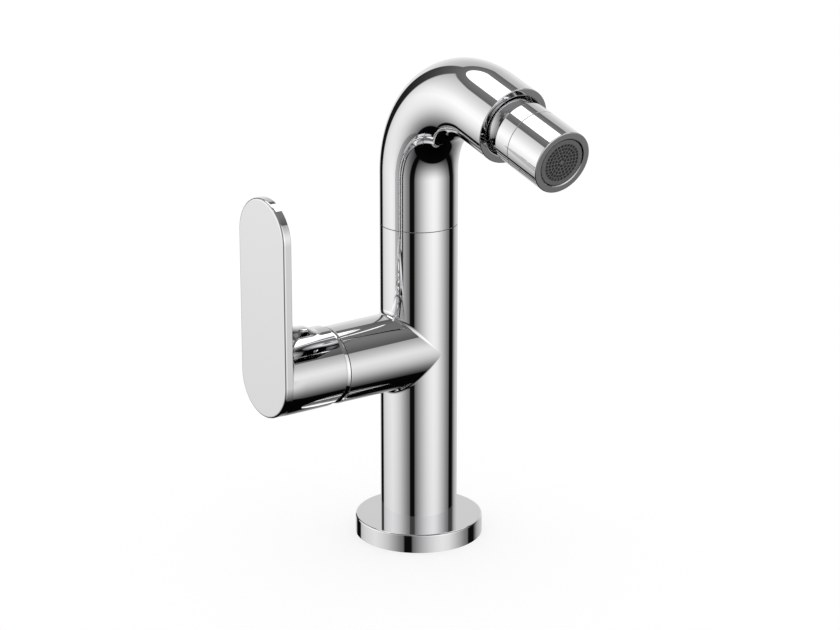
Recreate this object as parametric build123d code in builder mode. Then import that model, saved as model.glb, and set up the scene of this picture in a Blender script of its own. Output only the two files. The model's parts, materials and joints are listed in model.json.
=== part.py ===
from build123d import *
from math import acos, cos, degrees, pi, radians, sin, sqrt, tan
import os

# A single-lever bidet mixer, in millimetres. The column stands on +Z, its origin is the
# middle of the underside of the base, the spout reaches toward -Y and the arm toward -X.

# Column and base
column_diameter = 32.0
seam_height = 135.0
base_diameter = 53.3
base_height = 7.0
base_edge = 0.5
foot_step = 1.0
deck_gasket_width = 2.6
deck_gasket_height = 1.6
deck_gasket_margin = 2.0

# Side arm that holds the cartridge
arm_diameter = 31.6
arm_height = 82.2
arm_length = 44.4
cast_fillet = 1.8
chamber_floor = 12.0
chamber_diameter = 25.0
nut_thread_diameter = 28.0
nut_seat = 33.5

# Supplies, outlet and fixing stud in the body
hose_thread_core = 9.0
hose_thread_depth = 12.0
hose_spacing = 13.2
hose_setback = 2.5
stud_hole_diameter = 6.8
stud_hole_depth = 16.0
stud_offset = 9.0
supply_bore = 6.4
outlet_bore = 8.0
port_diameter = 4.8
port_drop = 2.0
port_rise = 6.5

# Swivel joint under the spout
socket_diameter = 18.0
socket_depth = 28.5
spigot_length = 28.0
spigot_bore = 12.0
spigot_plug_length = 12.0
glide_thickness = 0.3
glide_overhang = 0.8
ring_section = 1.7
upper_ring_drop = 8.0
lower_ring_drop = 23.0
stop_groove_drop = 15.5
stop_groove_width = 3.6
spout_swing = 60.0
stop_screw_diameter = 5.0
stop_tip_diameter = 3.0
stop_screw_recess = 1.0
hex_socket = 2.5
hex_socket_depth = 2.0

# Spout
spout_wall = 3.0
spout_rise = 21.5
arch_radius = 36.3
arch_angle = 105.8
spout_straight = 16.0

# Ball joint at the end of the spout
collar_length = 3.0
collar_thread_diameter = 28.7
collar_depth = 9.4
ball_depth = 4.5
ball_diameter = 24.6
collar_hole_diameter = 25.0
liner_thickness = 0.4
liner_front = 0.5
liner_back = 1.5
ball_cut = 8.0
seat_front = 9.5
seat_back = 15.4
seat_hole_diameter = 15.0
seat_ring_section = 1.8
seat_ring_depth = 12.0
neck_diameter = 17.2
neck_end = 10.0
neck_bore = 10.0

# Nozzle sleeves and aerator
sleeve_diameter = 25.6
sleeve_start = 5.5
sleeve_seam = 13.4
nozzle_length = 31.1
sleeve_edge = 0.5
sleeve_seam_gap = 0.18
rear_wall = 4.0
sleeve_thread_diameter = 22.8
web_start = 11.2
web_thickness = 1.2
web_hole_diameter = 10.0
aerator_thread_diameter = 19.8
aerator_lip = 0.5
aerator_recess = 0.4
aerator_depth = 9.4
aerator_wall = 1.2
washer_thickness = 1.8
washer_hole_diameter = 12.0
grid_thickness = 1.6
cell_depth = 0.9
cell_pitch = 1.45
cell_size = 0.8
cell_rings = 5
jet_plate_depth = 5.0
jet_plate_thickness = 1.5
jet_hole_diameter = 1.0
jet_hole_count = 12
jet_circle_share = 0.7
screen_thickness = 0.4
screen_hole_share = 0.35
screen_offset = 1.3

# Cartridge
housing_wall = 1.2
port_plate_thickness = 2.9
port_seal_width = 1.4
port_seal_height = 1.2
disc_thickness = 3.0
moving_disc_diameter = 17.2
disc_cavity_diameter = 10.0
disc_cavity_depth = 1.5
carrier_thickness = 3.9
carrier_diameter = 17.8
carrier_flat = 16.6
guide_flange_length = 4.5
guide_flange_diameter = 21.8
guide_diameter = 20.4
guide_end = 38.5
guide_slot_width = 7.8
guide_slot_height = 15.0
front_wall_start = 30.0
front_hole_diameter = 21.2
nut_length = 6.5
nut_hex = 21.5
nut_hex_depth = 3.5
pivot_distance = 33.0
pivot_pin_diameter = 3.0
tilt_angle = 25.0

# Stem
stem_diameter = 7.0
stem_ball_diameter = 4.4
stem_ball_distance = 23.8
stem_neck_diameter = 2.8
stem_square = 6.0
stem_square_start = 50.0
stem_end = 64.0

# Cover ring over the mouth of the arm
cover_rim_diameter = 31.2
cover_band_length = 3.0
cover_band_rounding = 5.1
cover_dome_diameter = 40.8
cover_hole_diameter = 24.8
cover_skirt_length = 3.8
cover_skirt_wall = 1.4

# Lever
plate_face = 76.8
plate_thickness = 3.75
plate_width = 32.2
plate_rise = 58.6
plate_edge = 0.5
lever_lift = 0.5
hub_cut_drop = 6.0
hub_cut_angle = 24.0
hub_cavity_diameter = 41.6
flare_radius = 16.0
lever_screw_distance = 59.0
lever_screw_diameter = 5.0
lever_screw_length = 6.0
lever_plug_diameter = 6.0
lever_plug_length = 3.0

# Clearances: fixed joints, turning joints, and parts that only pass each other
fixed_fit = 0.02
running_fit = 0.08
free_gap = 0.3
overrun = 1.0

os.makedirs("parts", exist_ok=True)


# Planes and axes shared by the pieces


def arm_section(distance):
    """Upright plane across the arm, at a distance from the column, seen from outside."""
    return Plane(origin=(-distance, 0, arm_height), x_dir=(0, -1, 0), z_dir=(-1, 0, 0))


# Long section of the arm: x runs out along the arm, y is the height above its axis
arm_profile = Plane(origin=(0, 0, arm_height), x_dir=(-1, 0, 0), z_dir=(0, 1, 0))
arm_axis = Axis(origin=(0, 0, arm_height), direction=(-1, 0, 0))

# Side view of the spout: x is the reach from the column axis, y is the height
spout_profile = Plane(origin=(0, 0, 0), x_dir=(0, -1, 0), z_dir=(-1, 0, 0))

droop = arch_angle - 90
arch_start = seam_height + spout_rise
arch_reach = arch_radius * (1 + sin(radians(droop)))
arch_drop_height = arch_start + arch_radius * cos(radians(droop))
mouth_reach = arch_reach + spout_straight * cos(radians(droop))
mouth_height = arch_drop_height - spout_straight * sin(radians(droop))
mouth = Vector(0, -mouth_reach, mouth_height)
nozzle_direction = Vector(0, -cos(radians(droop)), -sin(radians(droop)))

# Long section of the nozzle: x runs out of the spout's mouth, y is away from the nozzle axis
nozzle_profile = Plane(origin=mouth, x_dir=nozzle_direction, z_dir=(-1, 0, 0))
nozzle_axis = Axis(origin=mouth, direction=nozzle_direction)


def nozzle_section(distance):
    """Plane across the nozzle, at a distance in front of the spout's mouth."""
    centre = mouth + nozzle_direction * distance
    return Plane(origin=centre, x_dir=(1, 0, 0), z_dir=nozzle_direction)


def sphere_reach(radius, section_radius):
    """Distance from a ball's centre to the slice of the ball that has the given radius."""
    return sqrt(radius**2 - section_radius**2)


column_radius = column_diameter / 2
arm_radius = arm_diameter / 2
foot_radius = column_radius - foot_step
body_top = seam_height - glide_thickness - running_fit
socket_radius = socket_diameter / 2
ball_radius = ball_diameter / 2

# Mixer body: a cast column with the arm, bored for the supplies, the cartridge and the spout
supply_places = [(hose_setback, -hose_spacing / 2), (hose_setback, hose_spacing / 2)]
supply_level = arm_height - port_drop
outlet_level = arm_height + port_rise
port_places = [
    (-hose_spacing / 2, -port_drop),
    (hose_spacing / 2, -port_drop),
    (0, port_rise),
]

with BuildPart() as mixer_body:
    with BuildSketch(Plane.XY):
        Circle(foot_radius)
    extrude(amount=base_height)
    with BuildSketch(Plane.XY.offset(base_height)):
        Circle(column_radius)
    extrude(amount=body_top - base_height)
    with BuildSketch(arm_section(0)):
        Circle(arm_radius)
    extrude(amount=arm_length)
    fillet(mixer_body.edges().filter_by(GeomType.BSPLINE), radius=cast_fillet)
    # cartridge chamber and the thread for its nut
    with BuildSketch(arm_section(chamber_floor)):
        Circle(chamber_diameter / 2)
    extrude(amount=arm_length, mode=Mode.SUBTRACT)
    with BuildSketch(arm_section(nut_seat)):
        Circle(nut_thread_diameter / 2)
    extrude(amount=arm_length, mode=Mode.SUBTRACT)
    # ports from the chamber floor back to the upright bores
    with BuildSketch(arm_section(-hose_setback)):
        with Locations(*port_places[:2]):
            Circle(port_diameter / 2)
    extrude(amount=chamber_floor + hose_setback, mode=Mode.SUBTRACT)
    with BuildSketch(arm_section(0)):
        with Locations(port_places[2]):
            Circle(port_diameter / 2)
    extrude(amount=chamber_floor, mode=Mode.SUBTRACT)
    # hose threads and supplies
    with BuildSketch(Plane.XY):
        with Locations(*supply_places):
            Circle(supply_bore / 2)
    extrude(amount=supply_level + port_diameter / 2 + free_gap, mode=Mode.SUBTRACT)
    with BuildSketch(Plane.XY):
        with Locations(*supply_places):
            Circle(hose_thread_core / 2)
    extrude(amount=hose_thread_depth, mode=Mode.SUBTRACT)
    with BuildSketch(Plane.XY):
        with Locations((-stud_offset, 0)):
            Circle(stud_hole_diameter / 2)
    extrude(amount=stud_hole_depth, mode=Mode.SUBTRACT)
    # outlet up to the socket of the spout
    with BuildSketch(Plane.XY.offset(outlet_level - outlet_bore / 2)):
        Circle(outlet_bore / 2)
    extrude(amount=body_top - outlet_level, mode=Mode.SUBTRACT)
    with BuildSketch(Plane.XY.offset(seam_height - socket_depth)):
        Circle(socket_radius)
    extrude(amount=socket_depth, mode=Mode.SUBTRACT)
    # thread for the stop screw, at the back of the column
    with BuildSketch(Plane.XZ.offset(-column_radius)):
        with Locations((0, seam_height - stop_groove_drop)):
            Circle(stop_screw_diameter / 2)
    extrude(amount=column_radius, mode=Mode.SUBTRACT)
mixer_body.part.label = "mixer_body"

# Base flange: a turned disc trapped between the column's shoulder and the deck
gasket_outer = base_diameter / 2 - deck_gasket_margin
gasket_inner = gasket_outer - deck_gasket_width

with BuildPart() as base_flange:
    with BuildSketch():
        Circle(base_diameter / 2)
        Circle(foot_radius + fixed_fit, mode=Mode.SUBTRACT)
    extrude(amount=base_height)
    rim = base_flange.edges().filter_by(GeomType.CIRCLE).group_by(Axis.Z)[-1]
    chamfer(rim.sort_by(SortBy.RADIUS)[-1], length=base_edge)
    with BuildSketch():
        Circle(gasket_outer)
        Circle(gasket_inner, mode=Mode.SUBTRACT)
    extrude(amount=deck_gasket_height, mode=Mode.SUBTRACT)
base_flange.part.label = "base_flange"

with BuildPart() as deck_gasket:
    with BuildSketch():
        Circle(gasket_outer)
        Circle(gasket_inner, mode=Mode.SUBTRACT)
    extrude(amount=deck_gasket_height)
deck_gasket.part.label = "deck_gasket"

# Cartridge port plate with a seal round each port, on the floor of the chamber
housing_radius = chamber_diameter / 2 - running_fit
housing_bore = housing_radius - housing_wall
port_seal_outer = port_diameter / 2 + port_seal_width

with BuildPart() as cartridge_port_plate:
    with BuildSketch(arm_section(chamber_floor)):
        Circle(housing_bore - fixed_fit)
        with Locations(*port_places):
            Circle(port_diameter / 2, mode=Mode.SUBTRACT)
    extrude(amount=port_plate_thickness)
    with BuildSketch(arm_section(chamber_floor)):
        with Locations(*port_places):
            Circle(port_seal_outer)
    extrude(amount=port_seal_height, mode=Mode.SUBTRACT)
cartridge_port_plate.part.label = "cartridge_port_plate"

with BuildPart() as port_seals:
    with BuildSketch(arm_section(chamber_floor)):
        with Locations(*port_places):
            Circle(port_seal_outer)
            Circle(port_diameter / 2, mode=Mode.SUBTRACT)
    extrude(amount=port_seal_height)
port_seals.part.label = "port_seals"

# Ceramic discs: the fixed one carries the three ports, the moving one a mixing cavity
fixed_disc_start = chamber_floor + port_plate_thickness
moving_disc_start = fixed_disc_start + disc_thickness + running_fit
carrier_start = moving_disc_start + disc_thickness
stem_arm = pivot_distance - stem_ball_distance
disc_travel = stem_arm * sin(radians(tilt_angle))
disc_offset = -disc_travel / 2

with BuildPart() as fixed_disc:
    with BuildSketch(arm_section(fixed_disc_start)):
        Circle(housing_bore - fixed_fit)
        with Locations(*port_places):
            Circle(port_diameter / 2, mode=Mode.SUBTRACT)
    extrude(amount=disc_thickness)
fixed_disc.part.label = "fixed_disc"

with BuildPart() as moving_disc:
    with BuildSketch(arm_section(moving_disc_start)):
        with Locations((0, disc_offset)):
            Circle(moving_disc_diameter / 2)
    extrude(amount=disc_thickness)
    with BuildSketch(arm_section(moving_disc_start)):
        with Locations((0, disc_offset)):
            Circle(disc_cavity_diameter / 2)
    extrude(amount=disc_cavity_depth, mode=Mode.SUBTRACT)
moving_disc.part.label = "moving_disc"

# Disc carrier: flats on both sides slide between the guide's lugs, a socket takes the stem's ball
socket_floor = stem_ball_distance - stem_ball_diameter / 2 - free_gap

with BuildPart() as disc_carrier:
    with BuildSketch(arm_section(carrier_start)):
        with Locations((0, disc_offset)):
            Circle(carrier_diameter / 2)
        Rectangle(carrier_flat, carrier_diameter * 2, mode=Mode.INTERSECT)
    extrude(amount=carrier_thickness)
    with BuildSketch(arm_section(socket_floor)):
        Circle(stem_ball_diameter / 2 + free_gap)
    extrude(amount=carrier_thickness, mode=Mode.SUBTRACT)
disc_carrier.part.label = "disc_carrier"

# Cartridge housing: a moulded cup that is open to the discs and holds the guide by its front wall
with BuildPart() as cartridge_housing:
    with BuildSketch(arm_profile):
        with BuildLine():
            Polyline(
                (chamber_floor, housing_bore),
                (chamber_floor, housing_radius),
                (nut_seat, housing_radius),
                (nut_seat, front_hole_diameter / 2),
                (front_wall_start, front_hole_diameter / 2),
                (front_wall_start, housing_bore),
                close=True,
            )
        make_face()
    revolve(axis=arm_axis)
cartridge_housing.part.label = "cartridge_housing"

# Stem guide: turns in the housing for temperature, carries the pivot pin and drives the carrier
guide_start = carrier_start + carrier_thickness + free_gap
lug_start = carrier_start + free_gap
guide_flange_end = guide_start + guide_flange_length
lug_inner = carrier_flat / 2 + free_gap

with BuildPart() as stem_guide:
    with BuildSketch(arm_section(guide_start)):
        Circle(guide_flange_diameter / 2)
    extrude(amount=guide_flange_length)
    with BuildSketch(arm_section(guide_flange_end)):
        Circle(guide_diameter / 2)
    extrude(amount=guide_end - guide_flange_end)
    with BuildSketch(arm_section(lug_start)):
        Circle(guide_flange_diameter / 2)
        Rectangle(lug_inner * 2, guide_flange_diameter * 2, mode=Mode.SUBTRACT)
    extrude(amount=guide_start - lug_start)
    with BuildSketch(arm_section(guide_start)):
        Rectangle(guide_slot_width, guide_slot_height)
    extrude(amount=guide_end - guide_start, mode=Mode.SUBTRACT)
    with BuildSketch(Plane.XZ.offset(-guide_diameter)):
        with Locations((-pivot_distance, arm_height)):
            Circle(pivot_pin_diameter / 2 + fixed_fit)
    extrude(amount=guide_diameter * 2, mode=Mode.SUBTRACT)
stem_guide.part.label = "stem_guide"

pin_half_length = guide_diameter / 2 - free_gap * 2

with BuildPart() as pivot_pin:
    with BuildSketch(Plane.XZ.offset(-pin_half_length)):
        with Locations((-pivot_distance, arm_height)):
            Circle(pivot_pin_diameter / 2)
    extrude(amount=pin_half_length * 2)
pivot_pin.part.label = "pivot_pin"

# Stem: a ball that moves the carrier, a neck, a cross hole for the pin and a square for the lever
ball_back = stem_ball_distance - stem_ball_diameter / 2
neck_radius = stem_neck_diameter / 2
stem_ball_radius = stem_ball_diameter / 2
neck_root = stem_ball_distance + sphere_reach(stem_ball_radius, neck_radius)
shank_start = guide_start + guide_flange_length / 2

with BuildPart() as control_stem:
    with BuildSketch(arm_profile):
        with BuildLine():
            Line((ball_back, 0), (stem_square_start, 0))
            Polyline(
                (stem_square_start, 0),
                (stem_square_start, stem_diameter / 2),
                (shank_start, stem_diameter / 2),
                (neck_root, neck_radius),
            )
            ThreePointArc(
                (neck_root, neck_radius),
                (stem_ball_distance, stem_ball_radius),
                (ball_back, 0),
            )
        make_face()
    revolve(axis=arm_axis)
    with BuildSketch(arm_section(stem_square_start)):
        Rectangle(stem_square, stem_square)
    extrude(amount=stem_end - stem_square_start)
    with BuildSketch(Plane.XZ.offset(-stem_diameter)):
        with Locations((-pivot_distance, arm_height)):
            Circle(pivot_pin_diameter / 2 + running_fit)
    extrude(amount=stem_diameter * 2, mode=Mode.SUBTRACT)
control_stem.part.label = "control_stem"

# Cartridge nut: a threaded ring with a hexagon recess for the key
with BuildPart() as cartridge_nut:
    with BuildSketch(arm_section(nut_seat)):
        Circle(nut_thread_diameter / 2 - fixed_fit)
        Circle(front_hole_diameter / 2, mode=Mode.SUBTRACT)
    extrude(amount=nut_length)
    with BuildSketch(arm_section(nut_seat + nut_length - nut_hex_depth)):
        RegularPolygon(nut_hex / 2, 6, major_radius=False)
    extrude(amount=nut_hex_depth, mode=Mode.SUBTRACT)
cartridge_nut.part.label = "cartridge_nut"

# Cover ring: a skirt pressed in the arm, a rounded band nearly flush with the arm, and a
# dome round the lever's pivot
rim_radius = cover_rim_diameter / 2
dome_radius = cover_dome_diameter / 2
cover_hole_radius = cover_hole_diameter / 2
cover_skirt_radius = nut_thread_diameter / 2 - fixed_fit
band_end = arm_length + cover_band_length
dome_foot_radius = sphere_reach(dome_radius, band_end - pivot_distance)
dome_lip = pivot_distance + sphere_reach(dome_radius, cover_hole_radius)
skirt_start = arm_length - cover_skirt_length
skirt_bore = cover_skirt_radius - cover_skirt_wall

with BuildPart() as cover_ring:
    with BuildSketch(arm_profile):
        with BuildLine():
            Polyline(
                (dome_lip, cover_hole_radius),
                (arm_length, cover_hole_radius),
                (skirt_start, skirt_bore),
                (skirt_start, cover_skirt_radius),
                (arm_length, cover_skirt_radius),
                (arm_length, rim_radius),
            )
            RadiusArc((arm_length, rim_radius), (band_end, dome_foot_radius), cover_band_rounding)
            RadiusArc((band_end, dome_foot_radius), (dome_lip, cover_hole_radius), dome_radius)
        make_face()
    revolve(axis=arm_axis)
cover_ring.part.label = "cover_ring"

# Lever: an upright plate whose back sweeps into a round hub that is hollow round the cover ring
# and stands a little above the arm's axis
plate_radius = plate_width / 2
plate_back = plate_face - plate_thickness
flare_start = plate_back - flare_radius
cavity_radius = hub_cavity_diameter / 2
cut_depth = plate_radius * 2
lever_height = arm_height + lever_lift
hub_bottom = lever_height - plate_radius
lever_axis = Axis(origin=(0, 0, lever_height), direction=(-1, 0, 0))
lever_profile = Plane(origin=(0, 0, lever_height), x_dir=(-1, 0, 0), z_dir=(0, 1, 0))

with BuildPart() as hub_flare:
    # a trumpet shape about the hub's axis, cut to the outline of the plate
    with BuildSketch(lever_profile):
        with BuildLine():
            Polyline(
                (plate_back, plate_radius + flare_radius),
                (plate_back, 0),
                (flare_start, 0),
                (flare_start, plate_radius),
            )
            CenterArc((flare_start, plate_radius + flare_radius), flare_radius, 270, 90)
        make_face()
    revolve(axis=lever_axis)
    with BuildSketch(arm_section(flare_start)):
        with Locations((0, lever_lift + plate_rise / 2)):
            SlotCenterToCenter(plate_rise, plate_width, rotation=90)
    extrude(amount=flare_radius, mode=Mode.INTERSECT)

with BuildPart() as lever:
    with BuildSketch(arm_section(plate_back)):
        with Locations((0, lever_lift + plate_rise / 2)):
            SlotCenterToCenter(plate_rise, plate_width, rotation=90)
    extrude(amount=plate_thickness)
    face_edges = lever.faces().sort_by(Axis.X)[0].edges()
    chamfer(face_edges, length=plate_edge)
    add(hub_flare.part)
    with BuildSketch(arm_section(band_end)):
        with Locations((0, lever_lift)):
            Circle(plate_radius)
    extrude(amount=flare_start - band_end)
    # hollow round the dome
    with BuildSketch(arm_profile):
        with BuildLine():
            Line((pivot_distance, 0), (pivot_distance + cavity_radius, 0))
            RadiusArc((pivot_distance + cavity_radius, 0), (pivot_distance, cavity_radius), -cavity_radius)
            Line((pivot_distance, cavity_radius), (pivot_distance, 0))
        make_face()
    revolve(axis=arm_axis, mode=Mode.SUBTRACT)
    # slanting cut under the hub that gives the lever room to tilt
    with BuildSketch(arm_profile):
        with BuildLine():
            Polyline(
                (band_end, -hub_cut_drop),
                (band_end + cut_depth * tan(radians(hub_cut_angle)), -hub_cut_drop - cut_depth),
                (band_end - overrun, -hub_cut_drop - cut_depth),
                (band_end - overrun, -hub_cut_drop),
                close=True,
            )
        make_face()
    extrude(amount=plate_width, both=True, mode=Mode.SUBTRACT)
    # square socket for the stem
    with BuildSketch(arm_section(stem_square_start)):
        Rectangle(stem_square + 2 * fixed_fit, stem_square + 2 * fixed_fit)
    extrude(amount=stem_end + free_gap - stem_square_start, mode=Mode.SUBTRACT)
    # threaded hole for the grub screw and a wider mouth for its plug
    with BuildSketch(Plane.XY.offset(hub_bottom - overrun)):
        with Locations((-lever_screw_distance, 0)):
            Circle(lever_screw_diameter / 2)
    extrude(amount=arm_height - hub_bottom + overrun, mode=Mode.SUBTRACT)
    with BuildSketch(Plane.XY.offset(hub_bottom - overrun)):
        with Locations((-lever_screw_distance, 0)):
            Circle(lever_plug_diameter / 2)
    extrude(amount=lever_plug_length + overrun, mode=Mode.SUBTRACT)
lever.part.label = "lever"

screw_top = arm_height - stem_square / 2 - fixed_fit

with BuildPart() as lever_screw:
    with BuildSketch(Plane.XY.offset(screw_top)):
        with Locations((-lever_screw_distance, 0)):
            Circle(lever_screw_diameter / 2 - fixed_fit)
    extrude(amount=-lever_screw_length)
    with BuildSketch(Plane.XY.offset(screw_top - lever_screw_length)):
        with Locations((-lever_screw_distance, 0)):
            RegularPolygon(hex_socket / 2, 6, major_radius=False)
    extrude(amount=hex_socket_depth, mode=Mode.SUBTRACT)
lever_screw.part.label = "lever_screw"

with BuildPart() as lever_plug:
    with BuildSketch(Plane.XY.offset(hub_bottom)):
        with Locations((-lever_screw_distance, 0)):
            Circle(lever_plug_diameter / 2 - fixed_fit)
    extrude(amount=lever_plug_length)
    # the plug's end follows the round of the hub
    with BuildSketch(arm_section(band_end)):
        with Locations((0, lever_lift)):
            Circle(plate_radius)
    extrude(amount=plate_back - band_end, mode=Mode.INTERSECT)
lever_plug.part.label = "lever_plug"

# Glide ring in the seam between the body and the spout
with BuildPart() as glide_ring:
    with BuildSketch(Plane.XY.offset(body_top)):
        Circle(column_radius - glide_overhang)
        Circle(socket_radius, mode=Mode.SUBTRACT)
    extrude(amount=glide_thickness)
glide_ring.part.label = "glide_ring"

# Spout tube: one bend over a round arch, counterbored at its mouth for the ball joint
spout_bore = column_radius - spout_wall

with BuildPart() as spout_tube:
    with BuildLine(spout_profile) as spout_path:
        riser = Line((0, seam_height), (0, arch_start))
        arch = CenterArc((arch_radius, arch_start), arch_radius, 180, -arch_angle)
        outlet_run = PolarLine(arch @ 1, spout_straight - collar_length, -droop)
    with BuildSketch(Plane.XY.offset(seam_height)):
        Circle(column_radius)
        Circle(spout_bore, mode=Mode.SUBTRACT)
    sweep(path=spout_path.wires()[0])
    with BuildSketch(nozzle_section(-seat_back)):
        Circle(collar_thread_diameter / 2 + fixed_fit)
    extrude(amount=seat_back, mode=Mode.SUBTRACT)
spout_tube.part.label = "spout_tube"

# Spout spigot: a turned plug soldered in the tube, grooved for its rings and for the stop screw
spigot_radius = socket_radius - running_fit
ring_radius = ring_section / 2
groove_floor = spigot_radius - ring_section - fixed_fit
stop_margin = degrees(acos(1 - ((stop_tip_diameter / 2 + free_gap) / spigot_radius) ** 2 / 2))
stop_sweep = 2 * (spout_swing + stop_margin)

with BuildPart() as spout_spigot:
    with BuildSketch(Plane.XY.offset(seam_height)):
        Circle(spout_bore - fixed_fit)
    extrude(amount=spigot_plug_length)
    with BuildSketch(Plane.XY.offset(seam_height)):
        Circle(spigot_radius)
    extrude(amount=-spigot_length)
    with BuildSketch(Plane.XY.offset(seam_height - spigot_length)):
        Circle(spigot_bore / 2)
    extrude(amount=spigot_length + spigot_plug_length, mode=Mode.SUBTRACT)
    for ring_drop in (upper_ring_drop, lower_ring_drop):
        with BuildSketch(Plane.XY.offset(seam_height - ring_drop - ring_radius - fixed_fit)):
            Circle(spigot_radius + overrun)
            Circle(groove_floor, mode=Mode.SUBTRACT)
        extrude(amount=ring_section + 2 * fixed_fit, mode=Mode.SUBTRACT)
    # part-round groove whose ends stop the swing
    with BuildSketch(Plane.XZ):
        with Locations((spigot_radius, seam_height - stop_groove_drop)):
            Rectangle((spigot_radius - groove_floor) * 2, stop_groove_width)
    revolve(axis=Axis.Z, revolution_arc=stop_sweep, mode=Mode.SUBTRACT)
spout_spigot.part = spout_spigot.part.rotate(Axis.Z, 90 - stop_sweep / 2)
spout_spigot.part.label = "spout_spigot"

with BuildPart() as spigot_rings:
    with BuildSketch(Plane.XZ):
        with Locations(
            (groove_floor + ring_radius, seam_height - upper_ring_drop),
            (groove_floor + ring_radius, seam_height - lower_ring_drop),
        ):
            Circle(ring_radius)
    revolve(axis=Axis.Z)
spigot_rings.part.label = "spigot_rings"

# Stop screw: its tip stands in the spigot's groove
stop_screw_end = column_radius - stop_screw_recess
stop_shoulder = socket_radius + running_fit
stop_tip_end = groove_floor + free_gap

with BuildPart() as stop_screw:
    with BuildSketch(Plane.XZ.offset(-stop_screw_end)):
        with Locations((0, seam_height - stop_groove_drop)):
            Circle(stop_screw_diameter / 2 - fixed_fit)
    extrude(amount=stop_screw_end - stop_shoulder)
    with BuildSketch(Plane.XZ.offset(-stop_shoulder)):
        with Locations((0, seam_height - stop_groove_drop)):
            Circle(stop_tip_diameter / 2)
    extrude(amount=stop_shoulder - stop_tip_end)
    with BuildSketch(Plane.XZ.offset(-stop_screw_end)):
        with Locations((0, seam_height - stop_groove_drop)):
            RegularPolygon(hex_socket / 2, 6, major_radius=False)
    extrude(amount=hex_socket_depth, mode=Mode.SUBTRACT)
stop_screw.part.label = "stop_screw"

# End collar: screwed in the spout's mouth, its bore is the front seat of the ball
collar_hole_radius = collar_hole_diameter / 2
collar_seat_radius = sqrt(collar_hole_radius**2 + ball_depth**2)
collar_thread_radius = collar_thread_diameter / 2

with BuildPart() as end_collar:
    with BuildSketch(nozzle_profile):
        with BuildLine():
            Polyline(
                (-ball_depth, collar_seat_radius),
                (-collar_depth, collar_seat_radius),
                (-collar_depth, collar_thread_radius),
                (-collar_length, collar_thread_radius),
                (-collar_length, column_radius),
                (0, column_radius),
                (0, collar_hole_radius),
            )
            RadiusArc((0, collar_hole_radius), (-ball_depth, collar_seat_radius), -collar_seat_radius)
        make_face()
    revolve(axis=nozzle_axis)
end_collar.part.label = "end_collar"

# Ball seat and its ring, behind the ball
seat_radius = ball_radius + free_gap
seat_hole_radius = seat_hole_diameter / 2
seat_lip_radius = sphere_reach(seat_radius, seat_front - ball_depth)
seat_hole_depth = ball_depth + sphere_reach(seat_radius, seat_hole_radius)
seat_ring_radius = seat_ring_section / 2
seat_ring_centre = sphere_reach(seat_radius + seat_ring_radius, seat_ring_depth - ball_depth)

with BuildPart() as ball_seat:
    with BuildSketch(nozzle_profile):
        with BuildLine():
            Polyline(
                (-seat_hole_depth, seat_hole_radius),
                (-seat_back, seat_hole_radius),
                (-seat_back, collar_thread_radius),
                (-seat_front, collar_thread_radius),
                (-seat_front, seat_lip_radius),
            )
            RadiusArc(
                (-seat_front, seat_lip_radius), (-seat_hole_depth, seat_hole_radius), -seat_radius
            )
        make_face()
        with Locations((-seat_ring_depth, seat_ring_centre)):
            Circle(seat_ring_radius + fixed_fit, mode=Mode.SUBTRACT)
    revolve(axis=nozzle_axis)
ball_seat.part.label = "ball_seat"

with BuildPart() as ball_ring:
    with BuildSketch(nozzle_profile):
        with Locations((-seat_ring_depth, seat_ring_centre)):
            Circle(seat_ring_radius)
    revolve(axis=nozzle_axis)
ball_ring.part.label = "ball_ring"

# Friction liner: a floating band between the ball and the collar
liner_inner = ball_radius + free_gap
liner_outer = liner_inner + liner_thickness

with BuildPart() as friction_liner:
    with BuildSketch(nozzle_profile):
        with BuildLine():
            liner_points = [
                (liner_front - ball_depth, sphere_reach(liner_inner, liner_front)),
                (liner_front - ball_depth, sphere_reach(liner_outer, liner_front)),
                (-liner_back - ball_depth, sphere_reach(liner_outer, liner_back)),
                (-liner_back - ball_depth, sphere_reach(liner_inner, liner_back)),
            ]
            Line(liner_points[0], liner_points[1])
            RadiusArc(liner_points[1], liner_points[2], -liner_outer)
            Line(liner_points[2], liner_points[3])
            RadiusArc(liner_points[3], liner_points[0], liner_inner)
        make_face()
    revolve(axis=nozzle_axis)
friction_liner.part.label = "friction_liner"

# Nozzle ball: cut flat behind, bored through, with a threaded neck in front
neck_outer = neck_diameter / 2
neck_bore_radius = neck_bore / 2
ball_cut_radius = sphere_reach(ball_radius, ball_cut)
neck_foot = sphere_reach(ball_radius, neck_outer) - ball_depth

with BuildPart() as nozzle_ball:
    with BuildSketch(nozzle_profile):
        with BuildLine():
            Polyline(
                (neck_foot, neck_outer),
                (neck_end, neck_outer),
                (neck_end, neck_bore_radius),
                (-ball_depth - ball_cut, neck_bore_radius),
                (-ball_depth - ball_cut, ball_cut_radius),
            )
            ThreePointArc(
                (-ball_depth - ball_cut, ball_cut_radius),
                (-ball_depth, ball_radius),
                (neck_foot, neck_outer),
            )
        make_face()
    revolve(axis=nozzle_axis)
nozzle_ball.part.label = "nozzle_ball"

# Sleeves: the rear one screws on the neck, the front one screws in it and holds the aerator
sleeve_radius = sleeve_diameter / 2
sleeve_thread_radius = sleeve_thread_diameter / 2
aerator_radius = aerator_thread_diameter / 2
web_end = web_start + web_thickness
aerator_front = nozzle_length - aerator_recess
aerator_back = aerator_front - aerator_depth
washer_back = aerator_back - washer_thickness
front_sleeve_start = sleeve_seam + sleeve_seam_gap

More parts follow.
